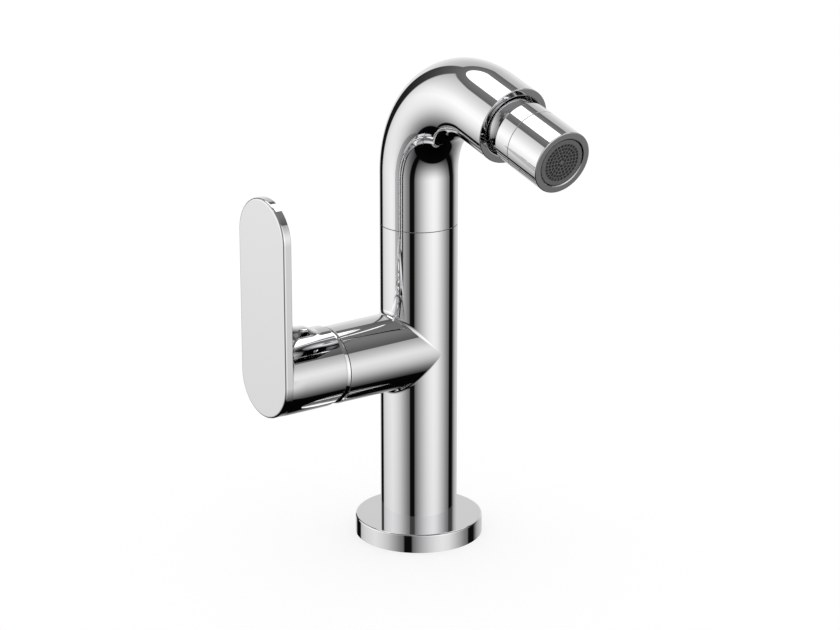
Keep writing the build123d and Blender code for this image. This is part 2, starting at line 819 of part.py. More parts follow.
with BuildPart() as rear_sleeve:
    with BuildSketch(nozzle_profile):
        with BuildLine():
            Polyline(
                (sleeve_start, neck_outer + fixed_fit),
                (sleeve_start, sleeve_radius - sleeve_edge),
                (sleeve_start + sleeve_edge, sleeve_radius),
                (sleeve_seam, sleeve_radius),
                (sleeve_seam, sleeve_thread_radius + fixed_fit),
                (sleeve_start + rear_wall, sleeve_thread_radius + fixed_fit),
                (sleeve_start + rear_wall, neck_outer + fixed_fit),
                close=True,
            )
        make_face()
    revolve(axis=nozzle_axis)
rear_sleeve.part.label = "rear_sleeve"

with BuildPart() as front_sleeve:
    with BuildSketch(nozzle_profile):
        with BuildLine():
            Polyline(
                (sleeve_start + rear_wall + free_gap, neck_outer + free_gap),
                (sleeve_start + rear_wall + free_gap, sleeve_thread_radius),
                (front_sleeve_start, sleeve_thread_radius),
                (front_sleeve_start, sleeve_radius),
                (nozzle_length - sleeve_edge / 2, sleeve_radius),
                (nozzle_length, sleeve_radius - sleeve_edge / 2),
                (nozzle_length, aerator_radius + aerator_lip),
                (nozzle_length - aerator_lip, aerator_radius),
                (washer_back, aerator_radius),
                (washer_back, washer_hole_diameter / 2),
                (web_end, washer_hole_diameter / 2),
                (web_end, web_hole_diameter / 2),
                (web_start, web_hole_diameter / 2),
                (web_start, neck_outer + free_gap),
                close=True,
            )
        make_face()
    revolve(axis=nozzle_axis)
front_sleeve.part.label = "front_sleeve"

with BuildPart() as neck_seal:
    with BuildSketch(nozzle_section(neck_end)):
        Circle(neck_outer)
        Circle(web_hole_diameter / 2, mode=Mode.SUBTRACT)
    extrude(amount=web_start - neck_end)
neck_seal.part.label = "neck_seal"

with BuildPart() as aerator_washer:
    with BuildSketch(nozzle_section(washer_back)):
        Circle(aerator_radius - fixed_fit)
        Circle(washer_hole_diameter / 2, mode=Mode.SUBTRACT)
    extrude(amount=washer_thickness)
aerator_washer.part.label = "aerator_washer"

# Aerator insert: a moulded cup whose front is a grid of rings of small square cells
insert_radius = aerator_radius - fixed_fit
insert_bore = insert_radius - aerator_wall

with BuildPart() as aerator_insert:
    with BuildSketch(nozzle_section(aerator_back)):
        Circle(insert_radius)
    extrude(amount=aerator_depth)
    with BuildSketch(nozzle_section(aerator_back)):
        Circle(insert_bore)
    extrude(amount=aerator_depth - grid_thickness, mode=Mode.SUBTRACT)
    for ring in range(1, cell_rings + 1):
        ring_circle = ring * cell_pitch
        cell_count = round(2 * pi * ring)
        with BuildSketch(nozzle_section(aerator_front - cell_depth)):
            with PolarLocations(ring_circle, cell_count):
                Rectangle(cell_size, cell_size)
        extrude(amount=cell_depth, mode=Mode.SUBTRACT)
aerator_insert.part.label = "aerator_insert"

with BuildPart() as jet_plate:
    with BuildSketch(nozzle_section(aerator_back + jet_plate_depth - jet_plate_thickness)):
        Circle(insert_bore - fixed_fit)
        with PolarLocations(insert_bore * jet_circle_share, jet_hole_count):
            Circle(jet_hole_diameter / 2, mode=Mode.SUBTRACT)
    extrude(amount=jet_plate_thickness)
jet_plate.part.label = "jet_plate"

with BuildPart() as flow_screens:
    for screen_number in range(2):
        screen_place = aerator_back + jet_plate_depth + screen_number * screen_offset
        with BuildSketch(nozzle_section(screen_place)):
            Circle(insert_bore - fixed_fit)
            Circle(insert_bore * screen_hole_share, mode=Mode.SUBTRACT)
        extrude(amount=screen_thickness)
flow_screens.part.label = "flow_screens"

pieces = [
    mixer_body,
    base_flange,
    deck_gasket,
    cartridge_port_plate,
    port_seals,
    fixed_disc,
    moving_disc,
    disc_carrier,
    cartridge_housing,
    stem_guide,
    pivot_pin,
    control_stem,
    cartridge_nut,
    cover_ring,
    lever,
    lever_screw,
    lever_plug,
    glide_ring,
    spout_tube,
    spout_spigot,
    spigot_rings,
    stop_screw,
    end_collar,
    ball_seat,
    ball_ring,
    friction_liner,
    nozzle_ball,
    rear_sleeve,
    front_sleeve,
    neck_seal,
    aerator_washer,
    aerator_insert,
    jet_plate,
    flow_screens,
]
for piece in pieces:
    export_step(piece.part, f"parts/{piece.part.label}.step")
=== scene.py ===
import json
import bpy
import numpy as np
from mathutils import Matrix, Vector
from mathutils.geometry import delaunay_2d_cdt


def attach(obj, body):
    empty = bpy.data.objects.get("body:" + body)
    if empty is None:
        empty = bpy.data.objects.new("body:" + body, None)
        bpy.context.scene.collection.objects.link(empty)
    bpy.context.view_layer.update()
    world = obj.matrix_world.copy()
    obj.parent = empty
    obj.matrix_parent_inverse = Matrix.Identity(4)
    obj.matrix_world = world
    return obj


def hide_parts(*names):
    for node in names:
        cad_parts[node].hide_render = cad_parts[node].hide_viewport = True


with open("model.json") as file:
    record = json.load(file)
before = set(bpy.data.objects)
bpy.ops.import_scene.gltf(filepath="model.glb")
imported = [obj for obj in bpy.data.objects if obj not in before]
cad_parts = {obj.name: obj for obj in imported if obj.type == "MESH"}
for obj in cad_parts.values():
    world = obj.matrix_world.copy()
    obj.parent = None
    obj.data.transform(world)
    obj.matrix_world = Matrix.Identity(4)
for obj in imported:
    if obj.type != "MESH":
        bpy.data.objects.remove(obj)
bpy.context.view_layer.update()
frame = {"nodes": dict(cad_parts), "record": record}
print("frame loaded")

scene = bpy.context.scene
scene.view_settings.view_transform = "Standard"

# Sizes and places that several pieces share, in metres
place = {
    "columnRadius": 0.0160,
    "armRadius": 0.0158,
    "armHeight": 0.0822,
    "armLength": 0.0448,
    "seamHeight": 0.1350,
    "archStart": 0.1565,
    "archRadius": 0.0363,
    "archAngle": 105.8,  # degrees
    "spoutStraight": 0.0160,
    "ringSteps": 192,
}

xAxis, yAxis, zAxis = np.eye(3)
droop = np.radians(place["archAngle"] - 90)
nozzleWay = np.array([0, -np.cos(droop), -np.sin(droop)])
nozzleUp = np.array([0, -np.sin(droop), np.cos(droop)])
mouth = np.array([
    0,
    -place["archRadius"] * (1 + np.sin(droop)) - place["spoutStraight"] * np.cos(droop),
    place["archStart"] + place["archRadius"] * np.cos(droop) - place["spoutStraight"] * np.sin(droop),
])
armCentre = np.array([0, 0, place["armHeight"]])


# Surfaces

def unit(v):
    return v / np.maximum(np.linalg.norm(v, axis=-1, keepdims=True), 1e-12)


def meshPiece(name, points, quads, cornerNormals, slot, body, replaced=()):
    # Quads hold four corners each, two of them the same where a row shrinks to a pole
    mesh = bpy.data.meshes.new(name)
    poles = quads[:, 2] == quads[:, 3]
    firstPoles = quads[:, 0] == quads[:, 1]
    full = ~(poles | firstPoles)
    faces = [quads[full], quads[poles][:, [0, 1, 2]], quads[firstPoles][:, [0, 2, 3]]]
    normals = [
        cornerNormals[full].reshape(-1, 3),
        cornerNormals[poles][:, [0, 1, 2]].reshape(-1, 3),
        cornerNormals[firstPoles][:, [0, 2, 3]].reshape(-1, 3),
    ]
    counts = np.concatenate([np.full(len(part), part.shape[1]) for part in faces])
    corners = np.concatenate([part.ravel() for part in faces])
    mesh.vertices.add(len(points))
    mesh.vertices.foreach_set("co", np.asarray(points, dtype=np.float32).ravel())
    mesh.loops.add(len(corners))
    mesh.loops.foreach_set("vertex_index", corners.astype(np.int32))
    mesh.polygons.add(len(counts))
    starts = np.concatenate([[0], np.cumsum(counts)[:-1]])
    mesh.polygons.foreach_set("loop_start", starts.astype(np.int32))
    mesh.polygons.foreach_set("use_smooth", np.ones(len(counts), dtype=bool))
    mesh.update(calc_edges=True)
    mesh.validate()
    mesh.normals_split_custom_set(unit(np.concatenate(normals)))
    mesh.materials.append(slotMaterials[slot])
    piece = bpy.data.objects.new(name, mesh)
    scene.collection.objects.link(piece)
    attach(piece, body)
    if replaced:
        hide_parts(*replaced)


def keepUsed(points, quads):
    # Leaves out points that no face uses
    used, inverse = np.unique(quads, return_inverse=True)
    return points[used], inverse.reshape(quads.shape)


def roundedProfile(corners, radii, spacing=None, arcSteps=6):
    # A chain of straight lines with its corners rounded: each corner of radius r gives way to an
    # arc that touches both lines. The normal is the line's left side, so it points out of the
    # metal. Returns points and, for each step between points, the normals at its two ends.
    corners = np.asarray(corners, float)
    points, starts, ends = [corners[0]], [], []
    for k in range(1, len(corners)):
        way = unit(corners[k] - corners[k - 1])
        left = np.array([-way[1], way[0]])
        trim = 0.0
        if k < len(corners) - 1 and radii[k] > 0:
            nextWay = unit(corners[k + 1] - corners[k])
            cross = way[0] * nextWay[1] - way[1] * nextWay[0]
            turn = np.arctan2(cross, way @ nextWay)
            trim = radii[k] * np.tan(abs(turn) / 2)
        stop = corners[k] - way * trim
        reach = np.linalg.norm(stop - points[-1])
        steps = max(1, int(np.ceil(reach / spacing))) if spacing else 1
        for share in np.linspace(0, 1, steps + 1)[1:]:
            if share == 1:
                points.append(stop)
            else:
                points.append(points[-1] + way * reach / steps)
            starts.append(left)
            ends.append(left)
        if trim:
            side = np.sign(turn)
            centre = stop + left * side * radii[k]
            angle = np.arctan2(left[1], left[0])
            for step in range(arcSteps):
                a0 = angle + turn * step / arcSteps
                a1 = angle + turn * (step + 1) / arcSteps
                n0 = np.array([np.cos(a0), np.sin(a0)])
                n1 = np.array([np.cos(a1), np.sin(a1)])
                points.append(centre - n1 * side * radii[k])
                starts.append(n0)
                ends.append(n1)
    return np.array(points), np.array(starts), np.array(ends)


def straightWay(origin, way, side):
    # Maps a distance along a straight axis to its centre and its three directions
    third = np.cross(way, side)

    def at(s):
        one = np.ones((len(s), 1))
        return origin + s[:, None] * way, one * way, one * side, one * third
    return at


def turnedPiece(name, profile, axis, slot, body, replaced=(), closed=False, ring=None, window=None):
    # A profile (distance along an axis, radius) carried round that axis: a point is the axis at
    # its distance, plus its radius times the turning direction. The ring may be drawn apart into
    # two half circles by adding an offset to each direction, which gives a long round plate.
    # A window leaves out the outermost faces between two distances and two columns.
    points, starts, ends = profile
    if closed:
        way = unit(points[0] - points[-1])
        left = np.array([[-way[1], way[0]]])
        starts, ends = np.concatenate([starts, left]), np.concatenate([ends, left])
    if ring is None:
        angles = np.linspace(0, 2 * np.pi, place["ringSteps"], endpoint=False)
        offsets = np.zeros((len(angles), 3))
    else:
        angles, offsets = ring
    centre, way, side, third = axis(points[:, 0])
    turn = (side[:, None] * np.cos(angles)[None, :, None]
            + third[:, None] * np.sin(angles)[None, :, None])
    grid = centre[:, None] + points[:, 1][:, None, None] * turn + offsets[None]
    rows, columns = grid.shape[:2]
    index = np.arange(rows * columns).reshape(rows, columns)
    shrunk = np.abs(points[:, 1]) < 1e-9
    if np.abs(offsets).max() > 0:
        half = columns // 2  # each half circle shrinks to its own centre
        index[shrunk] = index[shrunk][:, np.where(np.arange(columns) < half, 0, half)]
    else:
        index[shrunk] = index[shrunk][:, :1]
    nextRow = np.roll(index, -1, axis=0) if closed else index[1:]
    thisRow = index if closed else index[:-1]
    quads = np.stack([thisRow, np.roll(thisRow, -1, axis=1), np.roll(nextRow, -1, axis=1), nextRow],
                     axis=-1)
    i0 = np.arange(len(thisRow))
    i1 = (i0 + 1) % rows

    def spread(normal, row):
        along, outward = normal[:, 0][:, None, None], normal[:, 1][:, None, None]
        return along * way[row][:, None] + outward * turn[row]
    n0, n1 = spread(starts, i0), spread(ends, i1)
    normals = np.stack([n0, np.roll(n0, -1, axis=1), np.roll(n1, -1, axis=1), n1], axis=2)
    if window is not None:
        low, high, first, last = window
        d0, d1, radius = points[i0, 0], points[i1, 0], points[i0, 1]
        gone = (np.minimum(d0, d1) > low - 1e-6) & (np.maximum(d0, d1) < high + 1e-6)
        gone &= radius > points[:, 1].max() - 1e-6
        column = np.arange(columns)
        kept = ~(gone[:, None] & (column >= first) & (column < last))
        quads, normals = quads[kept], normals[kept]
    quads = quads.reshape(-1, 4)
    normals = normals.reshape(-1, 4, 3)
    meshPiece(name, *keepUsed(grid.reshape(-1, 3), quads), normals, slot, body, replaced)


def gridPiece(name, grid, slot, body, breaks=()):
    # A grid of points, closed round its columns. A normal is the cross product of the central
    # differences along both parameters, one-sided where a row is named as a sharp break. A first
    # or last row whose points are all one is a pole and takes its neighbour's normals.
    around = np.roll(grid, -1, axis=1) - np.roll(grid, 1, axis=1)
    forward = np.roll(grid, -1, axis=0) - grid
    backward = grid - np.roll(grid, 1, axis=0)
    forward[-1], backward[0] = backward[-1], forward[0]
    forwardUnit = unit(np.cross(around, forward))
    backwardUnit = unit(np.cross(around, backward))
    lengthF = np.linalg.norm(forward, axis=-1, keepdims=True)
    lengthB = np.linalg.norm(backward, axis=-1, keepdims=True)
    middle = unit(forwardUnit * lengthB + backwardUnit * lengthF)
    startNormal, endNormal = middle.copy(), middle.copy()
    for row in breaks:
        startNormal[row], endNormal[row] = forwardUnit[row], backwardUnit[row]
    index = np.arange(grid.shape[0] * grid.shape[1]).reshape(grid.shape[:2])
    shrunk = np.ptp(grid, axis=1).max(axis=-1) < 1e-9
    index[shrunk] = index[shrunk][:, :1]
    if shrunk[0]:
        startNormal[0] = endNormal[1]
    if shrunk[-1]:
        endNormal[-1] = startNormal[-2]
    thisRow, nextRow = index[:-1], index[1:]
    quads = np.stack([thisRow, np.roll(thisRow, -1, axis=1), np.roll(nextRow, -1, axis=1), nextRow],
                     axis=-1)
    n0, n1 = startNormal[:-1], endNormal[1:]
    normals = np.stack([n0, np.roll(n0, -1, axis=1), np.roll(n1, -1, axis=1), n1], axis=2)
    points, quads = keepUsed(grid.reshape(-1, 3), quads.reshape(-1, 4))
    meshPiece(name, points, quads, normals.reshape(-1, 4, 3), slot, body)


# Materials

def hexColour(text):
    # sRGB hex to the linear values a shader takes
    srgb = np.array([int(text[k:k + 2], 16) for k in (1, 3, 5)]) / 255
    linear = np.where(srgb <= 0.04045, srgb / 12.92, ((srgb + 0.055) / 1.055) ** 2.4)
    return (*[float(v) for v in linear], 1.0)


def addNode(tree, kind, settings=None, links=None):
    # settings name an attribute or an input, links give an input's name and the output it takes
    node = tree.nodes.new(kind)
    for key, value in (settings or {}).items():
        if isinstance(key, int) or key in node.inputs:
            node.inputs[key].default_value = value
        else:
            setattr(node, key, value)
    for key, output in (links or {}).items():
        tree.links.new(output, node.inputs[key])
    return node


def newMaterial(name, colour, settings):
    material = bpy.data.materials.new(name)
    material.use_nodes = True
    shader = material.node_tree.nodes["Principled BSDF"]
    shader.inputs["Base Color"].default_value = hexColour(colour)
    for key, value in settings.items():
        shader.inputs[key].default_value = value
    return material


# Name, colour and shader values of the material in each slot
finishes = {
    # bright chromium plated on buffed brass: a neutral mirror
    "polished_chrome": ("polishedChromePlate", "#ebebec", {"Metallic": 1.0, "Roughness": 0.018}),
    # brass as it leaves the lathe: yellow, its fine turning marks blur what it reflects
    "bare_brass": ("turnedBrass", "#d3b06a", {"Metallic": 1.0, "Roughness": 0.25}),
    # stainless steel, turned and drawn: grey and satin
    "steel": ("turnedStainlessSteel", "#b9babc", {"Metallic": 1.0, "Roughness": 0.3}),
    # black nitrile rubber, moulded: dull, with a soft sheen
    "black_rubber": ("mouldedNitrileRubber", "#1b1b1c", {"Roughness": 0.6, "IOR": 1.52}),
    # white acetal, moulded: satin
    "white_acetal": ("mouldedWhiteAcetal", "#e2e1dc", {"Roughness": 0.4, "IOR": 1.48}),
    # grey acetal, moulded: the aerator's satin plastic
    "grey_acetal": ("mouldedGreyAcetal", "#5c5c5d", {"Roughness": 0.38, "IOR": 1.48}),
    # alumina, lapped: hard, white and nearly a mirror
    "alumina": ("lappedAlumina", "#efece4", {"Roughness": 0.15, "IOR": 1.77}),
}
buffing = {
    "waveMm": 9.0,  # from one wave of the chrome to the next
    "waveHeight": 0.0000010,  # in metres
}


def addWaves(material):
    # The slow, shallow unevenness that hand buffing leaves, as a bump on Object coordinates
    tree = material.node_tree
    coords = addNode(tree, "ShaderNodeTexCoord")
    noise = addNode(tree, "ShaderNodeTexNoise", {"Scale": 1000 / buffing["waveMm"], "Detail": 1.0},
                    {"Vector": coords.outputs["Object"]})
    bump = addNode(tree, "ShaderNodeBump", {"Strength": 1.0, "Distance": buffing["waveHeight"]},
                   {"Height": noise.outputs["Fac"]})
    tree.links.new(bump.outputs["Normal"], tree.nodes["Principled BSDF"].inputs["Normal"])


slotMaterials = {slot: newMaterial(*finish) for slot, finish in finishes.items()}
addWaves(slotMaterials["polished_chrome"])
slotOf = {part["node"]: part["material_slot"] for part in frame["record"]["subparts"]}
for name, node in frame["nodes"].items():
    node.data.materials.clear()
    node.data.materials.append(slotMaterials[slotOf[name]])
print("materials made")


# Column with its side arm

column = {
    "footHeight": 0.0079,
    "top": 0.13474,
    "topEdge": 0.00006,
    "footInset": 0.0010,
    "socketRadius": 0.0090,
    "socketDepth": 0.0120,
    "screwHeight": 0.1195,
    "screwHole": 0.0025,
    "screwDepth": 0.0030,
    "screwWindow": 0.0035,  # half the height of the patch round the screw's hole
    "screwColumns": 14,  # width of that patch, in steps of the ring
    # holes in the underside: x, y, radius and depth of the two hose threads and the stud's
    "footHoles": [(0.0025, -0.0066, 0.0045, 0.0120), (0.0025, 0.0066, 0.0045, 0.0120),
                  (-0.0090, 0.0, 0.0034, 0.0160)],
    "armEdge": 0.00015,
    "armGrowth": 0.00019,  # of the arm's radius, from its end to the column
    "armBore": 0.0140,
    "armBoreDepth": 0.0100,
    "junction": 0.0020,  # radius of the cast fillet between arm and column
    "armSteps": 320,
    "glideRadius": 0.0148,
    "glideBore": 0.0091,
}


def makeColumn():
    # From the foot up the outside, over the top and down into the spout's socket, with a window
    # at the back for the stop screw's hole
    radius, footTop = place["columnRadius"], column["footHeight"]
    foot = radius - column["footInset"]
    mid, half = column["screwHeight"], column["screwWindow"]
    top, socket, floor = column["top"], column["socketRadius"], column["top"] - column["socketDepth"]
    profile = roundedProfile(
        [(0, foot), (footTop, foot), (footTop, radius), (mid - half, radius), (mid + half, radius),
         (top, radius), (top, socket), (floor, socket), (floor, 0)],
        [0, 0, 0, 0, 0, column["topEdge"], 0, 0, 0], spacing=0.004)
    back, wide = place["ringSteps"] // 4, column["screwColumns"] // 2
    turnedPiece("columnShell", profile, straightWay(np.zeros(3), zAxis, xAxis), "polished_chrome",
                "mixer_body", ["mixer_body"], window=(mid - half, mid + half, back - wide, back + wide))


def makeScrewHole():
    # The patch runs from the hole's circle to the window's outline. In between, each point is a
    # weighted mean of the two, set on the cylinder by y = root of (radius squared - x squared).
    radius, steps = place["columnRadius"], column["screwColumns"]
    t = np.linspace(-1, 1, steps, endpoint=False)
    one = np.ones_like(t)
    sides = ((t, -one), (one, t), (-t, one), (-one, -t))
    outline = np.concatenate([np.stack(side, axis=-1) for side in sides])
    outline[:, 0] = radius * np.sin(outline[:, 0] * steps * np.pi / place["ringSteps"])
    outline[:, 1] *= column["screwWindow"]
    circle = unit(outline) * column["screwHole"]
    rows = []
    for share in np.linspace(0, 1, 8):
        flat = circle * (1 - share) + outline * share
        rows.append(np.stack([flat[:, 0], np.sqrt(radius ** 2 - flat[:, 0] ** 2),
                              column["screwHeight"] + flat[:, 1]], axis=-1))
    floor = rows[0] * np.array([1, 0, 1]) + (radius - column["screwDepth"]) * yAxis
    gridPiece("screwHole", np.array([floor] + rows), "polished_chrome", "mixer_body", breaks=[1])


def makeFoot():
    # The underside is the disc inside the column's foot, cut into triangles round its three holes
    radius, steps = place["columnRadius"] - column["footInset"], place["ringSteps"]
    turn = np.linspace(0, 2 * np.pi, steps, endpoint=False)
    loops = [radius * np.stack([np.cos(turn), np.sin(turn)], axis=-1)]
    for x, y, hole, depth in column["footHoles"]:
        loops.append(np.array([x, y]) + hole * np.stack([np.cos(turn), np.sin(turn)], axis=-1))
        wall = roundedProfile([(depth, 0), (depth, hole), (0, hole)], [0, 0, 0])
        turnedPiece("footHole", wall, straightWay(np.array([x, y, 0]), zAxis, xAxis), "polished_chrome",
                    "mixer_body")
    flat = np.concatenate(loops)
    step = np.arange(len(flat)).reshape(len(loops), steps)
    edges = np.stack([step, np.roll(step, -1, axis=1)], axis=-1).reshape(-1, 2)
    flat, _, faces, *_ = delaunay_2d_cdt([Vector(p) for p in flat], edges.tolist(), [], 0, 1e-9)
    flat, faces = np.array([list(p) for p in flat]), np.array(faces)
    middle = flat[faces].mean(axis=1)
    kept = np.ones(len(faces), dtype=bool)
    for x, y, hole, _ in column["footHoles"]:
        kept &= np.linalg.norm(middle - (x, y), axis=-1) > hole
    faces = faces[kept]
    corners = flat[faces]
    side, other = corners[:, 1] - corners[:, 0], corners[:, 2] - corners[:, 0]
    upward = side[:, 0] * other[:, 1] - side[:, 1] * other[:, 0] > 0
    faces[upward] = faces[upward][:, ::-1]
    quads = faces[:, [0, 1, 2, 2]]
    points = np.concatenate([flat, np.zeros((len(flat), 1))], axis=1)
    meshPiece("columnFoot", points, quads, np.tile(-zAxis, (len(quads), 4, 1)), "polished_chrome",
              "mixer_body")


def makeArm():
    # Round the arm's axis, each ring point runs from the bore over the arm's end, back along the
    # outside and down a fillet. The outside grows evenly toward the column. The fillet is the path
    # of a ball that rolls on both cylinders: its centre keeps the ball's radius from each, and the
    # arc joins the two touching points.
    angles = np.linspace(0, 2 * np.pi, column["armSteps"], endpoint=False)
    arm, post, length = place["armRadius"], place["columnRadius"], place["armLength"]
    ball, edge, root = column["junction"], column["armEdge"], arm + column["armGrowth"]
    ring = np.stack([np.zeros_like(angles), -np.cos(angles), np.sin(angles)], axis=-1)
    centre = (root + ball) * ring
    centre[:, 0] = -np.sqrt((post + ball) ** 2 - centre[:, 1] ** 2)
    postNormal = unit(centre * np.array([1, 1, 0]))
    rows, breaks = [], []

    def ringRow(distance, radius):
        rows.append(armCentre - xAxis * np.asarray(distance)[..., None] + radius * ring)
    ringRow(length - column["armBoreDepth"], 0)
    ringRow(length - column["armBoreDepth"], column["armBore"])
    ringRow(length, column["armBore"])
    breaks += [1, 2]
    for turn in np.linspace(0, np.pi / 2, 6):
        ringRow(length - edge + edge * np.cos(turn), arm - edge + edge * np.sin(turn))
    touch = -centre[:, 0]
    # the rows close to both ends keep the shading of the long faces even
    for share in (0.003, *np.linspace(0, 1, 12)[1:-1], 0.997, 1.0):
        ringRow(length - edge + (touch - length + edge) * share, arm + (root - arm) * share)
    for share in np.linspace(0, 1, 13)[1:]:
        normal = unit(ring * (1 - share) + postNormal * share)
        rows.append(armCentre + centre - ball * normal)
    breaks.append(len(rows) - 1)
    ringRow(0, 0)
    gridPiece("armShell", np.array(rows), "polished_chrome", "mixer_body", breaks=breaks)


def makeGlideRing():
    # Stands back from both edges of the seam, so that the seam shows as a fine dark line
    low, high, bore, radius = column["top"], place["seamHeight"], column["glideBore"], column["glideRadius"]
    profile = roundedProfile([(low, bore), (low, radius), (high, radius), (high, bore)], [0, 0, 0, 0])
    turnedPiece("glideRing", profile, straightWay(np.zeros(3), zAxis, xAxis), "white_acetal",
                "mixer_body", ["glide_ring"], closed=True)


makeColumn()
makeScrewHole()
makeFoot()
makeArm()
makeGlideRing()
print("column and arm made")


# Base disc

base = {
    "radius": 0.02665,
    "height": 0.0079,
    "edge": 0.0007,  # radius of its rounded top edge
    "bore": 0.01502,
}


def makeBase():
    bore, radius, height = base["bore"], base["radius"], base["height"]
    profile = roundedProfile([(0, bore), (0, radius), (height, radius), (height, bore)],
                             [0, 0, base["edge"], 0])
    turnedPiece("baseDisc", profile, straightWay(np.zeros(3), zAxis, xAxis), "polished_chrome",
                "mixer_body", ["base_flange"], closed=True)


makeBase()
print("base made")


# Spout

spout = {
    "collar": 0.0030,  # thickness of the end ring's edge, past the tube's own end
    "wall": 0.0030,
    "seamEdge": 0.00006,
    "boreDepth": 0.0154,
    "mouthBore": 0.01437,
}


def spoutWay(s):
    # Centre line of the spout: straight up, round the arch, straight on. The distance along it
    # gives the arc's turn, and the turn gives the centre and the directions.
    rise = place["archStart"] - place["seamHeight"]
    radius, whole = place["archRadius"], np.radians(place["archAngle"])
    turn = np.clip((s - rise) / radius, 0, whole)
    past = np.maximum(s - rise - radius * whole, 0)
    before = np.minimum(s, rise)
    zero, one = np.zeros_like(s), np.ones_like(s)
    way = np.stack([zero, -np.sin(turn), np.cos(turn)], axis=-1)
    side = np.stack([one, zero, zero], axis=-1)
    third = np.cross(way, side)
    centre = np.stack([zero, -radius * (1 - np.cos(turn)),
                       place["seamHeight"] + before + radius * np.sin(turn)], axis=-1)
    return centre + past[:, None] * way, way, side, third


spoutLength = (place["archStart"] - place["seamHeight"] + place["archRadius"] * np.radians(place["archAngle"])
               + place["spoutStraight"])


def makeSpout():
    radius, bore, mouthBore = place["columnRadius"], place["columnRadius"] - spout["wall"], spout["mouthBore"]
    end, step = spoutLength - spout["collar"], spoutLength - spout["boreDepth"]
    profile = roundedProfile(
        [(step, bore), (0, bore), (0, radius), (end, radius), (end, mouthBore), (step, mouthBore)],
        [0, 0, spout["seamEdge"], 0, 0, 0], spacing=0.0008)
    turnedPiece("spoutTube", profile, spoutWay, "polished_chrome", "spout", ["spout_tube"], closed=True)


makeSpout()
print("spout made")


# End ring, ball and sleeves of the nozzle

# Distances run out of the spout's mouth, along the nozzle's axis
nozzle = {
    "ringHole": 0.0125,
    "ringEdge": 0.0003,
    "holeEdge": 0.0007,
    "ringBack": -0.0094,
    "ringThread": 0.01435,
    "seatStep": 0.1,  # radians of the ball's seat that the hole's round edge may take
    "ballDepth": 0.0045,
    "ballRadius": 0.0123,
    "ballCut": 0.0080,
    "neckRadius": 0.0086,
    "neckEnd": 0.0100,
    "neckBore": 0.0050,
}
sleeves = {
    "radius": 0.0128,
    "start": 0.0055,
    "seam": 0.0134,
    "seamGap": 0.00018,
    "seamEdge": 0.00012,
    "end": 0.0311,
    "startEdge": 0.0004,
    "endEdge": 0.00035,
    # of the rear sleeve
    "rearBore": 0.0088,
    "rearWall": 0.0040,
    "rearThread": 0.01142,
    # of the front sleeve, which the aerator insert fills
    "frontStart": 0.0045,  # past the rear sleeve's start
    "frontBore": 0.0089,
    "frontThread": 0.0114,
    "neckStop": 0.0112,
    "throatBore": 0.0050,
    "washerStop": 0.0124,
    "washerBore": 0.0060,
    "insertStop": 0.0190,
    "insertBore": 0.0099,
    "lip": 0.0003,
    "lipEdge": 0.0001,
}
nozzleAxis = straightWay(mouth, nozzleWay, xAxis)


def makeEndRing():
    # Its bore is the ball's seat: an arc round the ball's centre, whose point is the centre plus the
    # seat's radius times the angle's cosine along the axis and its sine away from it
    radius, collar = place["columnRadius"], -spout["collar"]
    back, thread = nozzle["ringBack"], nozzle["ringThread"]
    seat = np.hypot(nozzle["ringHole"], nozzle["ballDepth"])
    first = np.arctan2(nozzle["ringHole"], nozzle["ballDepth"])
    angles = [first, *np.linspace(first + nozzle["seatStep"], np.pi / 2, 9)]
    seatCurve = [(seat * np.cos(a) - nozzle["ballDepth"], seat * np.sin(a)) for a in angles]
    corners = [(back, seat), (back, thread), (collar, thread), (collar, radius), (0, radius)] + seatCurve
    radii = [0, 0, 0, 0, nozzle["ringEdge"], nozzle["holeEdge"]] + [0] * (len(seatCurve) - 1)
    turnedPiece("mouthRing", roundedProfile(corners, radii), nozzleAxis, "polished_chrome", "spout",
                ["end_collar"], closed=True)


def makeBall():
    # A ball's arc from its flat back to its neck, which carries the sleeves
    ball, neck, end, bore = nozzle["ballRadius"], nozzle["neckRadius"], nozzle["neckEnd"], nozzle["neckBore"]
    back = np.arccos(-nozzle["ballCut"] / ball)
    angles = np.linspace(back, np.arcsin(neck / ball), 24)
    curve = [(ball * np.cos(a) - nozzle["ballDepth"], ball * np.sin(a)) for a in angles]
    corners = [(curve[0][0], bore)] + curve + [(end, neck), (end, bore)]
    turnedPiece("nozzleBall", roundedProfile(corners, [0] * len(corners)), nozzleAxis, "polished_chrome",
                "nozzle", ["nozzle_ball"], closed=True)


